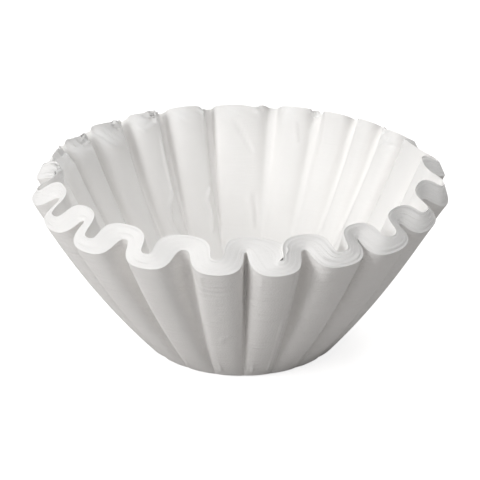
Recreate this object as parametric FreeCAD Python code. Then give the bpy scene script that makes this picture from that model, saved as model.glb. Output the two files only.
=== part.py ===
"""A nest of basket coffee filters: pressed paper bowls, flat below and fluted round the side.

The nest is one solid. Its outside is the outermost filter, its inside the innermost one, and the
band round the top holds the cut edges of all the filters between them.

Paper bends but hardly stretches, so each side is built as flat paper folds. Under the middle of
every fold of the rim a narrow flat strip stands on the base fold. Between two such strips the
flute's flank fans out from one point of the base fold, as a cone of flat facets.
Millimetres, +Z up, with the origin at the centre of the flat bottom.
"""
import FreeCAD
import Part
import math
import os

# One filter: a flat disc of paper pressed into a bowl
BASE_RADIUS = 44.5        # of the flat base
BASE_FOLD_WIDTH = 1.5     # of the soft fold round the base, measured level
BASE_FOLD_HEIGHT = 1.5    # of the soft fold
SIDE_LENGTH = 82.5        # from the base fold to the cut edge, in a straight line
SIDE_BOW = 2.2            # how far the middle of the side bellies outwards

# The flutes, measured at the rim on the middle filter of the nest
CREST_RADIUS = 89.0       # of the folds that stand outwards
ROOT_RADIUS = 80.0        # of the folds that stand inwards
FOLD_FULLNESS = 0.82      # 0.5 gives soft waves, 1 gives square folds with steep flanks

# The nest, from its outermost to its innermost filter
BASE_THICKNESS = 5.2      # through the stacked bases
FOOT_THICKNESS = 3.0      # through the side just above the base fold, measured level
CREST_THICKNESS = 2.4     # through a fold at the rim, measured level
FLANK_THICKNESS = 6.2     # through a flute's flank at the rim, measured level

# Each flute: the direction and the width of its outward fold, in degrees, and how far it and
# the inward fold after it stand out beyond the usual radius. Hand folding leaves them uneven.
FLUTES = [
    (5, 8, -1.5), (25, 8, 0.0), (38, 7, 0.0), (49, 7, -0.5), (63, 8, -0.5), (79, 8, 1.0),
    (101, 8, 1.0), (118, 8, 0.0), (133, 8, 0.0), (149, 8, 0.0), (163, 7, 0.0), (177, 8, -1.5),
    (196, 9, -1.0), (214, 10, 0.0), (230, 9, 1.0), (247, 8, 1.0), (264, 8, 0.5), (278, 8, 1.0),
    (294, 9, 0.5), (309, 10, 0.0), (326, 10, -2.0), (346, 11, -2.5),
]

FACETS = 8                # flat facets across each flank
OUTERMOST = -1            # depths in the nest
INNERMOST = 1
NODE = "filter_nest"


def point(radius, angle, height):
    """Return the point at a radius, an angle in degrees and a height."""
    turn = math.radians(angle)
    return FreeCAD.Vector(radius * math.cos(turn), radius * math.sin(turn), height)


def rim_folds():
    """Return every fold of the rim as (angle, radius, half its width in degrees, is a crest)."""
    found = []
    for index, (crest, width, swell) in enumerate(FLUTES):
        following, following_width, _ = FLUTES[(index + 1) % len(FLUTES)]
        following += 360 * (following < crest)
        start = crest + width / 2
        end = following - following_width / 2
        found.append((crest, CREST_RADIUS + swell, width / 2, True))
        found.append(((start + end) / 2, ROOT_RADIUS + swell, (end - start) / 2, False))
    return found


def base_level(depth):
    """Return the height of a filter's flat base."""
    return BASE_THICKNESS * (depth - OUTERMOST) / (INNERMOST - OUTERMOST)


def foot_radius(depth):
    """Return the radius at which a filter's side starts, on top of its base fold."""
    inset = FOOT_THICKNESS * (depth - OUTERMOST) / (INNERMOST - OUTERMOST)
    return BASE_RADIUS + BASE_FOLD_WIDTH - inset


def rim_point(fold, depth):
    """Return the middle of a fold on the cut edge."""
    angle, radius, _, _ = fold
    radius -= depth * CREST_THICKNESS / 2
    spread = radius - foot_radius(depth)
    rise = math.sqrt(SIDE_LENGTH ** 2 - spread ** 2)
    return point(radius, angle, base_level(depth) + BASE_FOLD_HEIGHT + rise)


def handle(fold, step, depth):
    """Return the pole that draws the cut edge away from a fold, towards one step degrees on.

    The flank between the two folds crosses the middle radius where their widths meet, moved
    by half its thickness. The factor 4/3 is a cubic curve's share of each pole at its middle.
    """
    angle, radius, half_width, is_crest = fold
    off_centre = math.radians(half_width - abs(step) / 2) * radius
    off_centre -= depth * FLANK_THICKNESS / 2 * (1 if is_crest else -1)
    length = FOLD_FULLNESS * math.radians(abs(step)) * radius + off_centre * 4 / 3
    along = point(1, angle + math.copysign(90, step), 0)
    return rim_point(fold, depth) + along * length


def cut_edge(before, after, depth):
    """Return the points of the cut edge from the middle of one fold to the next."""
    step = (after[0] - before[0]) % 360
    curve = Part.BezierCurve()
    curve.setPoles([rim_point(before, depth), handle(before, step, depth),
                    handle(after, -step, depth), rim_point(after, depth)])
    return [curve.value(index / FACETS) for index in range(FACETS + 1)]


def flat_face(*corners):
    """Return the flat face inside a closed row of corners."""
    return Part.Face(Part.makePolygon(list(corners) + [corners[0]]))


def halfway(foot, upper, belly):
    """Return the point midway up the side from a foot to a point of the rim."""
    return (foot + upper) / 2 + belly


def filter_faces(depth):
    """Return the faces of one filter: its base, the fold round it and its fluted side."""
    folds = rim_folds()
    followers = folds[1:] + folds[:1]
    around = [here[0] + (after[0] - here[0]) % 360 / 2 for here, after in zip(folds, followers)]
    level = base_level(depth)
    radius = foot_radius(depth)
    base = [point(radius - BASE_FOLD_WIDTH, angle, level) for angle in around]
    feet = [point(radius, angle, level + BASE_FOLD_HEIGHT) for angle in around]
    spread = (CREST_RADIUS + ROOT_RADIUS) / 2 - radius
    lean = math.asin(spread / SIDE_LENGTH)
    bellies = [point(SIDE_BOW * math.cos(lean), angle, -SIDE_BOW * math.sin(lean))
               for angle in around]
    faces = [flat_face(*base)]
    for index, fold in enumerate(folds):
        top = rim_point(fold, depth)
        back_half = halfway(feet[index - 1], top, bellies[index - 1])
        here_half = halfway(feet[index], top, bellies[index])
        faces.append(flat_face(base[index - 1], base[index], feet[index], feet[index - 1]))
        faces.append(flat_face(feet[index - 1], feet[index], here_half, back_half))
        faces.append(flat_face(back_half, here_half, top))
        edge = cut_edge(fold, followers[index], depth)
        halves = [halfway(feet[index], upper, bellies[index]) for upper in edge]
        for i in range(FACETS):
            faces.append(flat_face(feet[index], halves[i + 1], halves[i]))
            faces.append(flat_face(halves[i], halves[i + 1], edge[i + 1], edge[i]))
    return faces


def rim_faces():
    """Return the band of cut edges that joins the outermost filter to the innermost."""
    folds = rim_folds()
    faces = []
    for index, after in enumerate(folds):
        outer = cut_edge(folds[index - 1], after, OUTERMOST)
        inner = cut_edge(folds[index - 1], after, INNERMOST)
        for i in range(FACETS):
            faces.append(flat_face(outer[i], outer[i + 1], inner[i + 1]))
            faces.append(flat_face(outer[i], inner[i + 1], inner[i]))
    return faces


def filter_nest():
    """Return the nest as one closed solid."""
    shell = Part.makeShell(filter_faces(OUTERMOST) + filter_faces(INNERMOST) + rim_faces())
    shell.sewShape()
    return Part.makeSolid(shell)


os.makedirs("parts", exist_ok=True)
nest = filter_nest()
nest.exportStep("parts/%s.step" % NODE)
box = nest.BoundBox
print("valid", nest.isValid(), "volume in ml", round(nest.Volume / 1000, 1))
print("box", [round(v, 1) for v in (box.XMin, box.XMax, box.YMin, box.YMax, box.ZMin, box.ZMax)])
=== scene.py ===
"""Paper, light and camera for the nest of basket coffee filters.

The CAD solid gives the nest's shape in flat facets. The pieces made here take its place with the
same flutes in smooth folds: grooves that stay crisp down to the base, a band of separate cut
edges round the rim, and the creases and crumpled tips of handled paper.
The pieces are worked out in millimetres and degrees in the CAD frame. The scene is in metres.
"""
import bpy
import math
import numpy as np
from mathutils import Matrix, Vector


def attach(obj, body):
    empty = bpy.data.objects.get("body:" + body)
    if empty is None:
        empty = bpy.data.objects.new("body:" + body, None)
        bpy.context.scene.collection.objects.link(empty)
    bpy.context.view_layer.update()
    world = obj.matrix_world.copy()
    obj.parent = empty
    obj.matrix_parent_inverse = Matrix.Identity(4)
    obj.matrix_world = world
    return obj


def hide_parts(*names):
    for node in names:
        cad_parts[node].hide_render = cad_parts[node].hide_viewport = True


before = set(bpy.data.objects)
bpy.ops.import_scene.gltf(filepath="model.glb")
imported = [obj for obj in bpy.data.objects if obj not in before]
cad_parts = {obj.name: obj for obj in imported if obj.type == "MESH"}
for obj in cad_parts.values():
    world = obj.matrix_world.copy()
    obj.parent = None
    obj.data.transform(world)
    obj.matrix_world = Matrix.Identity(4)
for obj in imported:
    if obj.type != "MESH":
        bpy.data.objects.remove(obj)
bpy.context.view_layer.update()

MM = 0.001
OUTER, INNER = -1, 1      # depth in the nest, of its outermost filter and of its innermost

# The sizes of the CAD solid
FOOT_RADIUS = 46.0
FOOT_HEIGHT = 1.5
SIDE_LENGTH = 82.5
SIDE_BOW = 2.2
CREST_RADIUS = 89.0
ROOT_RADIUS = 80.0
FOLD_FULLNESS = 0.82
BASE_THICKNESS = 5.2
FOOT_THICKNESS = 3.0
CREST_THICKNESS = 2.4
FLANK_THICKNESS = 6.2
FLUTES = [
    (5, 8, -1.5), (25, 8, 0.0), (38, 7, 0.0), (49, 7, -0.5), (63, 8, -0.5), (79, 8, 1.0),
    (101, 8, 1.0), (118, 8, 0.0), (133, 8, 0.0), (149, 8, 0.0), (163, 7, 0.0), (177, 8, -1.5),
    (196, 9, -1.0), (214, 10, 0.0), (230, 9, 1.0), (247, 8, 1.0), (264, 8, 0.5), (278, 8, 1.0),
    (294, 9, 0.5), (309, 10, 0.0), (326, 10, -2.0), (346, 11, -2.5),
]

# What the smooth pieces add to them
ROOT_PINCH = 1.8          # how much sharper the outermost filter's folds are at the rim, inward
CREST_PINCH = 1.2         # and outward
SLOT_ANGLE = 1.5          # half the width of a groove where it meets the base fold
SLOT_DEPTH = 0.9          # of the grooves at the base fold
BASE_FULLNESS = 0.45      # of the folds at the base fold
BASE_FOLD_WIDTH = 3.0     # of the soft fold round the base, measured level

# How fine the pieces are
COLUMNS = 28              # of vertices from one fold to the next
SIDE_ROWS = 72            # of faces up each side
BASE_FOLD_ROWS = 4        # of faces across the soft fold round the base
BAND_ROWS = 44            # of faces across the band of cut edges

# The separate sheets in the band of cut edges
SHEET_LIFT = 0.04         # how far every second row of the band stands up, as a sheet's edge
SHEET_SPREAD = 0.04       # how much more or less a row stands up, by chance
SHEET_WAVER = 0.032       # how much each row goes up and down along the rim
WAVER_WAVES = 8           # waves in this, from one to eight of them round the rim
WAVER_SUM = 2.8           # about the root of their number, so that their sum stays near 1

# Seeds of the random draws
BAND_SEED = 7
ACROSS_SEED = 15
UPWARD_SEED = 16

# Marks of handling. A lane counts the folds round the rim: 0 is the first flute's outward fold,
# 1 the inward fold after it. A share is the part of the side's length from the base fold up.
# Dips of the cut edge: lane, half width in lanes, depth
DIPS = [
    (21.2, 0.5, 1.8), (18.95, 0.25, 1.6), (16.9, 0.25, 1.2), (14.95, 0.2, 0.9), (12.7, 0.2, 0.9),
    (10.9, 0.2, 0.7), (23.0, 0.5, 2.0), (3.1, 0.2, 0.8), (1.2, 0.3, 0.8),
]
DIP_FADE = 2              # power of the share, by which a dip fades down the side
# Where the outermost cut edges stand lower than the rest: lane, half width in lanes, drop
SLANTS = [(42.2, 1.1, 2.8), (39.8, 1.0, 1.8), (1.4, 0.8, 2.6), (37.6, 0.8, 0.8)]
SLANT_FADE = 8            # power of the share, by which this fades down the side
# Top edges that lean outwards, the innermost the most: first and last lane, height, lean
LEANS = [
    (20.4, 21.5, 9.0, 4.0), (18.5, 19.6, 9.0, 3.8), (16.5, 17.6, 10.0, 3.8), (14.6, 15.6, 8.0, 2.8),
    (12.6, 13.6, 6.0, 1.2), (8.2, 11.4, 4.0, 0.5), (3.0, 5.5, 4.0, 0.5),
]
LEAN_RAMP = 0.4           # lanes over which a leaning edge starts, and ends
LEAN_LOSS = 0.35          # how much less the outermost edge leans, as a share
# Where the innermost filter's flutes are pressed flatter: first and last lane, share of the way
FLATTENED = [(1.6, 11.8, 0.45)]
FLAT_RAMP = 1.5           # lanes over which the flatter flutes start, and end
FLAT_FOOT = 0.3           # share of the side over which they start, from the base fold up
FLAT_EDGE = 0.15          # share of the side over which the flattening eases, below the rim
FLAT_EASE = 0.35          # how much it eases
# Folds pushed along the rim: depth, lane, half width in lanes, push, reach outwards
TUCKS = [
    (INNER, 33.55, 0.33, 7.0, -1.2), (OUTER, 21.3, 0.5, 0.0, 2.5),
]
TUCK_HEIGHT = 14.0        # how far down the side a tuck reaches
NEST_FADE = 1.5           # power by which slants and tucks fade through the nest
# Where the cut edges stand further apart: first and last lane, how many times as far
LOOSE = [(35.4, 36.9, 1.8), (37.8, 44.0, 2.0), (0.0, 2.0, 2.0), (22.3, 23.6, 4.0)]
LOOSE_RAMP = 0.5          # lanes over which this starts, and ends
# Crumples: depth, lane, share, radius, size
CRUMPLES = [
    (INNER, 12.66, 0.99, 3.2, 1.3), (INNER, 14.87, 0.985, 3.5, 1.5),
    (INNER, 16.83, 0.98, 3.4, 1.7), (INNER, 18.86, 0.97, 3.4, 1.6),
    (INNER, 20.93, 0.96, 3.4, 1.5), (INNER, 21.6, 0.97, 3.5, 0.8), (INNER, 23.0, 0.97, 4.0, 1.2),
    (INNER, 10.82, 0.99, 3.5, 1.0), (INNER, 8.2, 0.99, 3.5, 1.1), (INNER, 5.3, 0.99, 3.5, 0.5),
    (INNER, 3.14, 0.98, 3.5, 0.7), (INNER, 1.21, 0.98, 3.5, 0.7), (INNER, 2.8, 0.93, 4.0, 0.4),
    (INNER, 19.1, 0.96, 5.0, 0.4), (INNER, 17.1, 0.94, 6.0, 0.4), (INNER, 15.1, 0.96, 5.0, 0.35),
    (INNER, 13.1, 0.96, 5.0, 0.3), (INNER, 11.1, 0.97, 5.0, 0.25), (INNER, 9.1, 0.97, 5.0, 0.25),
]
CRUMPLE_LIFT = 0.6        # how much a crumple moves up and down, against its size
FACET_WIDTHS = (1.0, 1.4, 2.0, 2.7, 3.4)      # of the pairs of flat sides in a crumple
FACET_SUM = 4.2           # by which the sum of their heights is brought to about 1
# Bulges: depth, lane, share, radius, height outwards
BULGES = [
    (OUTER, 35.75, 0.93, 4.5, 0.7), (OUTER, 37.7, 0.94, 4.0, 0.8),
    (INNER, 11.0, 0.6, 12.0, 0.6), (INNER, 9.0, 0.45, 10.0, -0.7),
    (INNER, 13.0, 0.7, 9.0, 0.5), (INNER, 7.0, 0.6, 9.0, -0.6), (INNER, 17.0, 0.6, 9.0, 0.5),
]
# Creases: depth, the places it runs through as lane and share, half width, height outwards
CREASES = [
    (OUTER, [(29.78, 0.97), (29.8, 0.06)], 0.45, 0.6),
    (OUTER, [(31.8, 0.97), (31.78, 0.06)], 0.55, 0.55),
    (OUTER, [(33.8, 0.97), (33.8, 0.06)], 0.6, 0.4),
    (OUTER, [(34.21, 0.97), (34.22, 0.5), (34.3, 0.06)], 0.45, 0.55),
    (OUTER, [(36.12, 0.97), (36.12, 0.1)], 0.5, 0.5),
    (OUTER, [(27.8, 0.95), (27.8, 0.1)], 0.6, 0.4),
    (OUTER, [(27.9, 0.43), (28.2, 0.40)], 0.5, 0.3),
    (OUTER, [(27.95, 0.2), (28.15, 0.17)], 0.6, 0.5),
    (OUTER, [(31.95, 0.44), (32.1, 0.48)], 0.4, 0.35),
    (OUTER, [(31.95, 0.4), (32.0, 0.46)], 0.4, 0.3),
    (INNER, [(11.07, 0.91), (10.95, 0.8), (10.86, 0.73)], 1.0, 0.6),
    (INNER, [(10.86, 0.44), (10.75, 0.36), (10.7, 0.27)], 1.3, -0.7),
    (INNER, [(10.7, 0.45), (10.55, 0.3)], 1.4, 0.6),
    (INNER, [(14.45, 0.97), (14.45, 0.5)], 1.8, 0.9),
    (INNER, [(12.45, 0.97), (12.45, 0.5)], 1.8, 0.9),
    (INNER, [(16.45, 0.9), (16.45, 0.4)], 1.6, 0.6),
    (INNER, [(8.93, 0.9), (8.82, 0.81)], 0.7, -0.8),
    (INNER, [(14.82, 0.5), (15.0, 0.44), (15.05, 0.36), (14.85, 0.2)], 0.8, -1.6),
    (INNER, [(12.71, 0.5), (12.85, 0.44), (12.75, 0.36), (12.8, 0.25)], 0.8, -1.4),
    (INNER, [(3.1, 0.893), (2.8, 0.93), (2.75, 0.95)], 0.6, -0.8),
    (INNER, [(20.9, 0.945), (21.2, 0.93)], 0.7, -0.5),
    (INNER, [(18.9, 0.912), (19.2, 0.925), (19.3, 0.93)], 0.7, -0.6),
    (INNER, [(16.95, 0.86), (17.1, 0.87), (17.25, 0.9)], 0.7, -0.7),
    (INNER, [(14.9, 0.93), (15.1, 0.91), (15.25, 0.93)], 0.7, -0.5),
    (INNER, [(12.72, 0.97), (12.74, 0.3)], 0.55, -0.7),
    (INNER, [(14.83, 0.97), (14.83, 0.5)], 0.55, -1.0),
    (INNER, [(16.8, 0.95), (16.82, 0.25)], 0.55, -0.9),
    (INNER, [(18.84, 0.95), (18.86, 0.3)], 0.55, -0.6),
    (INNER, [(20.88, 0.93), (20.9, 0.5)], 0.55, -0.6),
    (INNER, [(7.24, 0.99), (7.22, 0.75)], 0.6, -0.35),
]

# The paper. Its grain is counted in cells of noise to a metre.
SHEEN = 0.2
# Painted light: the crumpled tips are painted towards this whiter colour, in place of the light
# that thin crumpled paper lets through
PAINTED_LIGHT_COLOUR = (0.96, 0.955, 0.945, 1)
CLOUD_GRAIN = 70          # of the slow changes of colour
ROUGH_GRAIN = 900         # of the smoother and rougher spots
ROUGHNESS = (0.8, 0.97)   # of the smoothest and the roughest ones
CREPE_GRAIN = 750
CREPE_STRETCH = (0.12, 0.12, 1)      # creping runs level, so its grain is stretched that way
CREPE_STRENGTH = 1.0
FIBRE_GRAIN = 1400
FIBRE_STRENGTH = 0.35

# Floor, world, lamps and camera, in metres and degrees
FLOOR_HALF = 3.0
FLOOR_DROP = 0.0002       # keeps the floor clear of the flat base
FLOOR_COLOUR = (0.6, 0.59, 0.585, 1)
FLOOR_GLOW = 0.8          # what the camera sees of it, on top of the light that falls on it
WORLD_LIGHT = 0.18        # strength of the light from all round
WORLD_SEEN = 1.0          # and of the background that the camera sees
LAMP_SIZE = 0.7
LAMP_DISTANCE = 1.2
LAMP_AIM = (0, 0, 0.05)
# Lamps: name, azimuth from the camera's side to the right, elevation, watts
LAMPS = [
    ("key", 308, 27, 7.1), ("front", 354, 67, 4.5), ("behind", 176, 32, 6.5),
    ("above_right", 90, 62, 0.7),
]
SENSOR_MM = 36
LENS_MM = 76.2
CAMERA_DISTANCE = 0.45
CAMERA_RISE = 24.89
CAMERA_AIM = (-0.00078, 0, 0.04273)


def polar(radius, angle, height):
    """The points at radii, angles in degrees and heights."""
    turn = np.radians(angle)
    return np.stack(np.broadcast_arrays(radius * np.cos(turn), radius * np.sin(turn), height), -1)


def rim_folds():
    """Angle, radius and half width of every fold of the rim, and 1 for a crest or -1 for a root."""
    rows = []
    for index, (crest, width, swell) in enumerate(FLUTES):
        following, following_width, _ = FLUTES[(index + 1) % len(FLUTES)]
        following += 360 * (following < crest)
        start = crest + width / 2
        end = following - following_width / 2
        rows.append((crest, CREST_RADIUS + swell, width / 2, 1))
        rows.append(((start + end) / 2, ROOT_RADIUS + swell, (end - start) / 2, -1))
    return np.array(rows).T


ANGLE, RADIUS, HALF, SIDE = rim_folds()
STEP = (np.roll(ANGLE, -1) - ANGLE) % 360             # from each fold to the next
T = np.arange(COLUMNS) / COLUMNS                      # the columns' places between two folds
LANES = np.arange(len(ANGLE) * COLUMNS) / COLUMNS     # the lane of every column
LEAN = math.asin(((CREST_RADIUS + ROOT_RADIUS) / 2 - FOOT_RADIUS) / SIDE_LENGTH)


def folded(points, radius, off_centre, fullness, pinch=0):
    """The curve through the folds' points. off_centre moves each flank towards the next fold.

    The factor 4/3 is a cubic curve's share of each pole at its middle.
    """
    after = np.roll(points, -1, 0)
    stretch = fullness * np.radians(STEP) * radius
    shorter = pinch * np.where(SIDE < 0, ROOT_PINCH, CREST_PINCH)
    reach = stretch + off_centre * 4 / 3 - shorter
    back_reach = stretch - off_centre * 4 / 3 - np.roll(shorter, -1)
    ahead = polar(1, ANGLE + 90, 0) * reach[:, None]
    behind = polar(1, np.roll(ANGLE, -1) - 90, 0) * back_reach[:, None]
    t = T[None, :, None]
    poles = [p[:, None] for p in (points, points + ahead, after + behind, after)]
    curve = ((1 - t) ** 3 * poles[0] + 3 * t * (1 - t) ** 2 * poles[1]
             + 3 * t ** 2 * (1 - t) * poles[2] + t ** 3 * poles[3])
    return curve.reshape(-1, 3)


def level(depth):
    """The height of a filter's flat base."""
    return BASE_THICKNESS * (depth + 1) / 2


def foot_radius(depth):
    """The middle radius at which a filter's side starts, on top of its base fold."""
    return FOOT_RADIUS - FOOT_THICKNESS * (depth + 1) / 2


def rim(depth):
    """A filter's cut edge, before it was handled."""
    radius = RADIUS - depth * CREST_THICKNESS / 2
    rise = np.sqrt(SIDE_LENGTH ** 2 - (radius - foot_radius(depth)) ** 2)
    off_centre = np.radians(HALF - STEP / 2) * RADIUS - SIDE * depth * FLANK_THICKNESS / 2
    return folded(polar(radius, ANGLE, level(depth) + FOOT_HEIGHT + rise), radius, off_centre,
                  FOLD_FULLNESS, (1 - depth) / 2)


def foot(depth):
    """The line at which a filter's side starts: round, with the ends of the grooves in it."""
    middle = foot_radius(depth) + depth * SLOT_DEPTH / 2
    radius = middle + SIDE * SLOT_DEPTH / 2
    off_centre = -SIDE * depth * np.radians(STEP / 2 - SLOT_ANGLE) * middle
    return folded(polar(radius, ANGLE, level(depth) + FOOT_HEIGHT), middle, off_centre,
                  BASE_FULLNESS)


def outward(points, drop):
    """Unit vectors out of the side: level ones that lean down by an angle in radians."""
    flat = points[..., :2] / np.linalg.norm(points[..., :2], axis=-1)[..., None]
    down = np.full(flat.shape[:-1] + (1,), -math.sin(drop))
    return np.concatenate([flat * math.cos(drop), down], -1)


def smooth(x):
    """A soft step from 0 to 1 as x goes from 0 to 1."""
    x = np.clip(x, 0, 1)
    return x * x * (3 - 2 * x)


def bell(lane, half_width):
    """1 at a lane, fading out on both sides of it, for every column round the rim."""
    half = len(ANGLE) / 2
    away = (LANES - lane + half) % len(ANGLE) - half
    return np.exp(-(away / half_width) ** 2)


def window(first, last, ramp):
    """1 from the first lane to the last and 0 outside them, with soft ends of ramp lanes."""
    return smooth((LANES - first) / ramp) * smooth((last - LANES) / ramp)


def lower(points, depth, share):
    """Move a row down where the cut edge dips or slants."""
    for lane, half_width, drop in DIPS:
        points[:, 2] -= drop * share ** DIP_FADE * bell(lane, half_width)
    for lane, half_width, drop in SLANTS:
        fade = share ** SLANT_FADE * ((1 - depth) / 2) ** NEST_FADE
        points[:, 2] -= drop * fade * bell(lane, half_width)


def lean(points, depth, share):
    """Move a row outwards where the top edges lean."""
    for first, last, tall, reach in LEANS:
        low = 1 - tall / SIDE_LENGTH
        amount = reach * smooth((share - low) / (1 - low)) * (1 + LEAN_LOSS * (depth - 1) / 2)
        points += outward(points, 0) * (amount * window(first, last, LEAN_RAMP))[:, None]


def flatten(points, depth, share):
    """Move a row towards its running mean over one flute, where the flutes are pressed flatter."""
    for first, last, amount in FLATTENED:
        eased = 1 - FLAT_EASE * smooth((share - (1 - FLAT_EDGE)) / FLAT_EDGE)
        amount = amount * smooth(share / FLAT_FOOT) * eased
        wrapped = np.cumsum(np.concatenate([points[-COLUMNS:], points, points[:COLUMNS]]), 0)
        flat = (wrapped[2 * COLUMNS:] - wrapped[:-2 * COLUMNS]) / (2 * COLUMNS)
        weight = window(first, last, FLAT_RAMP) * (depth + 1) / 2 * amount
        points += (flat - points) * weight[:, None]


def tuck(points, depth, share):
    """Push a row along the rim and outwards where a fold is tucked over."""
    for tucked, lane, half_width, push, reach in TUCKS:
        weight = bell(lane, half_width) * ((1 + depth * tucked) / 2) ** NEST_FADE
        weight *= smooth(1 - (1 - share) * SIDE_LENGTH / TUCK_HEIGHT)
        away = outward(points, 0)
        along = np.column_stack([-away[:, 1], away[:, 0], away[:, 2]])
        points += (along * push + away * reach) * weight[:, None]


def side(depth, share):
    """One row of a filter's side, as the handled nest has it."""
    low, high = foot(depth), rim(depth)
    points = low + (high - low) * share
    points += outward(points, LEAN) * SIDE_BOW * 4 * share * (1 - share)
    for mark in (lower, lean, flatten, tuck):
        mark(points, depth, share)
    return points


def base_fold(depth, share):
    """One row of the soft fold from the flat base, at share 0, up to the foot of the side."""
    end = foot(depth)
    flat = end[:, :2] / np.linalg.norm(end[:, :2], axis=1)[:, None]
    height = np.full(len(flat), level(depth))
    start = np.column_stack([flat * (foot_radius(depth) - BASE_FOLD_WIDTH), height])
    corner = np.column_stack([flat * (foot_radius(depth) - BASE_FOLD_WIDTH / 2), height])
    return (1 - share) ** 2 * start + 2 * share * (1 - share) * corner + share ** 2 * end


def base_ring(depth):
    """The row halfway out on a filter's flat base."""
    return (base_fold(depth, 0) + (0, 0, level(depth))) / 2


def place(depth, lane, share):
    """The point of a filter's side at a lane and a share of its length."""
    row = side(depth, share)
    column = lane * COLUMNS
    before = int(column) % len(row)
    part = column - int(column)
    return row[before] * (1 - part) + row[(before + 1) % len(row)] * part


def distance(points, start, end):
    """How far the points are from the line between two places."""
    along = end - start
    share = np.clip((points - start) @ along / (along @ along), 0, 1)
    return np.linalg.norm(points - start - share[..., None] * along, axis=-1)


def facets(points, seed):
    """Flat-sided folds in all directions, mostly between -1 and 1, as in crushed paper."""
    total = 0
    local = np.random.default_rng(seed)
    for width in FACET_WIDTHS:
        way = local.normal(size=3)
        way /= np.linalg.norm(way)
        phase = (points @ way / width + local.random()) % 1
        total = total + (4 * np.abs(phase - 0.5) - 1) * width
    return total / FACET_SUM


def marked(points):
    """The points with the creases and the crumples, and how strongly each one is crumpled."""
    away = outward(points, LEAN)
    moved = np.zeros(points.shape[:-1])
    lifted = np.zeros(points.shape[:-1])
    painted_light_weight = np.zeros(points.shape[:-1])
    for depth, run, half_width, height in CREASES:
        stops = [place(depth, lane, share) for lane, share in run]
        gap = np.min([distance(points, a, b) for a, b in zip(stops, stops[1:])], 0)
        moved += height * np.exp(-(gap / half_width) ** 2)
    for depth, lane, share, radius, height in BULGES:
        gap = np.linalg.norm(points - place(depth, lane, share), axis=-1)
        moved += height * np.exp(-(gap / radius) ** 2)
    across, upward = facets(points, ACROSS_SEED), facets(points, UPWARD_SEED)
    for depth, lane, share, radius, size in CRUMPLES:
        gap = np.linalg.norm(points - place(depth, lane, share), axis=-1)
        weight = np.exp(-(gap / radius) ** 2)
        moved += size * weight * across
        lifted += size * weight * upward * CRUMPLE_LIFT
        # a crumple's weight also sets how much lighter its paper is painted, as painted light
        painted_light_weight = np.maximum(painted_light_weight, weight)
    moved_points = points + away * moved[..., None]
    moved_points[..., 2] += lifted
    return moved_points, painted_light_weight


def piece(name, rows, *caps):
    """A piece of paper from rows of points round the nest. caps are the rows to close."""
    points, painted_light_weight = marked(np.array(rows))
    height, count = points.shape[:2]
    index = np.arange(height * count).reshape(height, count)
    quads = np.stack([index[:-1], np.roll(index[:-1], -1, 1), np.roll(index[1:], -1, 1),
                      index[1:]], -1)
    faces = quads.reshape(-1, 4).tolist()
    vertices = points.reshape(-1, 3)
    for row in caps:
        ring = (index[row][::-1] if row == 0 else index[row]).tolist()
        faces += [(a, b, len(vertices)) for a, b in zip(ring, ring[1:] + ring[:1])]
        vertices = np.vstack([vertices, points[row].mean(0)])
    mesh = bpy.data.meshes.new(name)
    mesh.from_pydata((vertices * MM).tolist(), [], faces)
    mesh.shade_smooth()
    # the crumples' weights, by which the material paints the crumpled tips lighter, as painted
    # light
    painted_light = mesh.attributes.new("painted_light", "FLOAT", "POINT")
    painted_light.data.foreach_set("value", np.append(painted_light_weight, np.zeros(len(caps))))
    made = bpy.data.objects.new(name, mesh)
    bpy.context.scene.collection.objects.link(made)
    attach(made, "root")
    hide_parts("filter_nest")
    return made


def filter_rows(depth):
    """The rows of one filter, from its base up to its cut edge, and closer together up there."""
    steps = np.linspace(0, 1, SIDE_ROWS + 1)
    shares = 1.5 * steps - 0.5 * steps ** 2
    folds = np.arange(BASE_FOLD_ROWS) / BASE_FOLD_ROWS
    return ([base_ring(depth)] + [base_fold(depth, share) for share in folds]
            + [side(depth, share) for share in shares])


def band_rows():
    """The rows of the band, from the outermost filter's cut edge to the innermost one's."""
    rng = np.random.default_rng(BAND_SEED)
    looseness = np.ones(len(LANES))
    for first, last, times in LOOSE:
        looseness += (times - 1) * window(first, last, LOOSE_RAMP)
    around = LANES[:, None] * np.arange(1, WAVER_WAVES + 1) * math.tau / len(ANGLE)
    rows = []
    for number, depth in enumerate(np.linspace(OUTER, INNER, BAND_ROWS + 1)):
        edge = side(depth, 1)
        if 0 < number < BAND_ROWS:
            sizes = rng.normal(size=WAVER_WAVES)
            starts = rng.random(WAVER_WAVES) * math.tau
            waver = (sizes * np.sin(around + starts)).sum(1) / WAVER_SUM
            lift = SHEET_LIFT * (1 if number % 2 else -1) + SHEET_SPREAD * rng.normal()
            edge[:, 2] += (lift + SHEET_WAVER * waver) * looseness
        rows.append(edge)
    return rows


outside = piece("outer_filter", filter_rows(OUTER), 0)
inside = piece("inner_filter", filter_rows(INNER)[::-1], -1)
edges = piece("cut_edges", band_rows())


def noise(tree, vector, grain, detail):
    """The height of a noise with so many cells to a metre."""
    made = tree.nodes.new("ShaderNodeTexNoise")
    made.inputs["Scale"].default_value = grain
    made.inputs["Detail"].default_value = detail
    tree.links.new(vector, made.inputs["Vector"])
    return made.outputs["Fac"]


def bump(tree, height, distance, strength):
    """A bump node of a height. Another bump can still go into its Normal."""
    made = tree.nodes.new("ShaderNodeBump")
    made.inputs["Distance"].default_value = distance
    made.inputs["Strength"].default_value = strength
    tree.links.new(height, made.inputs["Height"])
    return made


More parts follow.
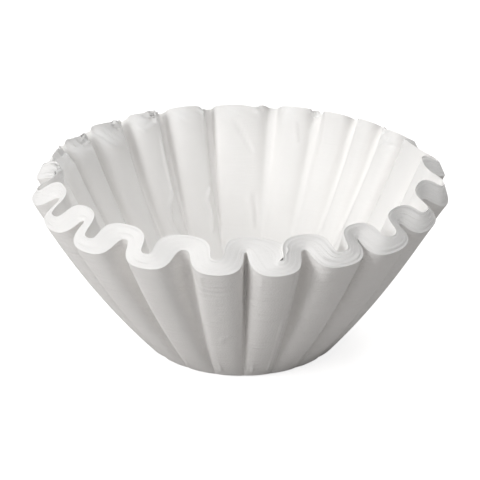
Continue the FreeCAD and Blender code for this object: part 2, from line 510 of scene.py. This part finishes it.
def paper(name, low, high, crepe):
    """White creped paper. Its colour wanders between low and high; crepe is its bump in metres."""
    made = bpy.data.materials.new(name)
    made.use_nodes = True
    tree = made.node_tree
    nodes, links = tree.nodes, tree.links
    shader = nodes["Principled BSDF"]
    shader.inputs["Specular IOR Level"].default_value = SHEEN
    where = nodes.new("ShaderNodeTexCoord").outputs["Object"]
    flat = nodes.new("ShaderNodeMapping")
    flat.inputs["Scale"].default_value = CREPE_STRETCH
    links.new(where, flat.inputs["Vector"])
    colour = nodes.new("ShaderNodeMix")
    colour.data_type = "RGBA"
    colour.inputs["A"].default_value = low
    colour.inputs["B"].default_value = high
    links.new(noise(tree, where, CLOUD_GRAIN, detail=3), colour.inputs["Factor"])
    # Painted light: where the paper is crumpled, its colour is mixed towards a whiter one, in place
    # of light through the thin tips
    painted_light = nodes.new("ShaderNodeAttribute")
    painted_light.attribute_name = "painted_light"
    whiter = nodes.new("ShaderNodeMix")
    whiter.data_type = "RGBA"
    whiter.inputs["B"].default_value = PAINTED_LIGHT_COLOUR
    links.new(painted_light.outputs["Fac"], whiter.inputs["Factor"])
    links.new(colour.outputs["Result"], whiter.inputs["A"])
    links.new(whiter.outputs["Result"], shader.inputs["Base Color"])
    rough = nodes.new("ShaderNodeMapRange")
    rough.inputs["To Min"].default_value, rough.inputs["To Max"].default_value = ROUGHNESS
    links.new(noise(tree, where, ROUGH_GRAIN, detail=2), rough.inputs["Value"])
    links.new(rough.outputs["Result"], shader.inputs["Roughness"])
    crepe_height = noise(tree, flat.outputs["Vector"], CREPE_GRAIN, detail=4)
    creping = bump(tree, crepe_height, crepe, CREPE_STRENGTH)
    fibres = bump(tree, noise(tree, where, FIBRE_GRAIN, detail=4), crepe, FIBRE_STRENGTH)
    links.new(creping.outputs["Normal"], fibres.inputs["Normal"])
    links.new(fibres.outputs["Normal"], shader.inputs["Normal"])
    return made


outside.data.materials.append(
    paper("creped_outside", (0.87, 0.854, 0.834, 1), (0.91, 0.895, 0.878, 1), 0.0005))
# The inside is painted lighter than the outside of the same paper, as painted light that fills the
# shade in its channels
inside.data.materials.append(
    paper("creped_inside", (0.9, 0.889, 0.874, 1), (0.935, 0.925, 0.912, 1), 0.0001))
edges.data.materials.append(
    paper("cut_paper", (0.9, 0.888, 0.873, 1), (0.95, 0.94, 0.926, 1), 0.0002))


def floor_material():
    """A plain floor that takes the nest's shadow and glows only for the camera."""
    made = bpy.data.materials.new("floor_white")
    made.use_nodes = True
    nodes, links = made.node_tree.nodes, made.node_tree.links
    nodes.clear()
    diffuse = nodes.new("ShaderNodeBsdfDiffuse")
    diffuse.inputs["Color"].default_value = FLOOR_COLOUR
    glow = nodes.new("ShaderNodeEmission")
    glow.inputs["Strength"].default_value = FLOOR_GLOW
    seen = nodes.new("ShaderNodeLightPath")
    gate = nodes.new("ShaderNodeMixShader")
    dark = nodes.new("ShaderNodeEmission")
    dark.inputs["Strength"].default_value = 0
    add = nodes.new("ShaderNodeAddShader")
    out = nodes.new("ShaderNodeOutputMaterial")
    links.new(seen.outputs["Is Camera Ray"], gate.inputs["Fac"])
    links.new(dark.outputs[0], gate.inputs[1])
    links.new(glow.outputs[0], gate.inputs[2])
    links.new(diffuse.outputs[0], add.inputs[0])
    links.new(gate.outputs[0], add.inputs[1])
    links.new(add.outputs[0], out.inputs["Surface"])
    return made


half = FLOOR_HALF
corners = [(-half, -half, 0), (half, -half, 0), (half, half, 0), (-half, half, 0)]
floor_mesh = bpy.data.meshes.new("floor")
floor_mesh.from_pydata(corners, [], [(0, 1, 2, 3)])
floor_mesh.materials.append(floor_material())
floor = bpy.data.objects.new("floor", floor_mesh)
floor.location.z = -FLOOR_DROP
bpy.context.scene.collection.objects.link(floor)


def studio_world():
    """White all round: faint as a light, and brighter where the camera sees it."""
    made = bpy.data.worlds.new("studio")
    made.use_nodes = True
    nodes, links = made.node_tree.nodes, made.node_tree.links
    back = nodes["Background"]
    back.inputs["Color"].default_value = (1, 1, 1, 1)
    seen = nodes.new("ShaderNodeLightPath")
    strength = nodes.new("ShaderNodeMix")
    strength.inputs["A"].default_value = WORLD_LIGHT
    strength.inputs["B"].default_value = WORLD_SEEN
    links.new(seen.outputs["Is Camera Ray"], strength.inputs["Factor"])
    links.new(strength.outputs["Result"], back.inputs["Strength"])
    return made


bpy.context.scene.world = studio_world()


def area_light(name, azimuth, elevation, power):
    """A round soft lamp that shines on the nest from a direction."""
    data = bpy.data.lights.new(name, "AREA")
    data.shape = "DISK"
    data.size = LAMP_SIZE
    data.energy = power
    lamp = bpy.data.objects.new(name, data)
    turn, lift = math.radians(azimuth), math.radians(elevation)
    spread = math.cos(lift)
    away = Vector((math.sin(turn) * spread, -math.cos(turn) * spread, math.sin(lift)))
    lamp.location = Vector(LAMP_AIM) + away * LAMP_DISTANCE
    lamp.rotation_euler = (-away).to_track_quat("-Z", "Y").to_euler()
    bpy.context.scene.collection.objects.link(lamp)


for settings in LAMPS:
    area_light(*settings)

camera_data = bpy.data.cameras.new("camera")
camera_data.sensor_width = SENSOR_MM
camera_data.lens = LENS_MM
camera = bpy.data.objects.new("camera", camera_data)
aim = Vector(CAMERA_AIM)
rise = math.radians(CAMERA_RISE)
camera.location = aim + CAMERA_DISTANCE * Vector((0, -math.cos(rise), math.sin(rise)))
camera.rotation_euler = (aim - camera.location).to_track_quat("-Z", "Y").to_euler()
bpy.context.scene.collection.objects.link(camera)
bpy.context.scene.camera = camera
bpy.context.scene.view_settings.view_transform = "Standard"

bpy.context.view_layer.update()
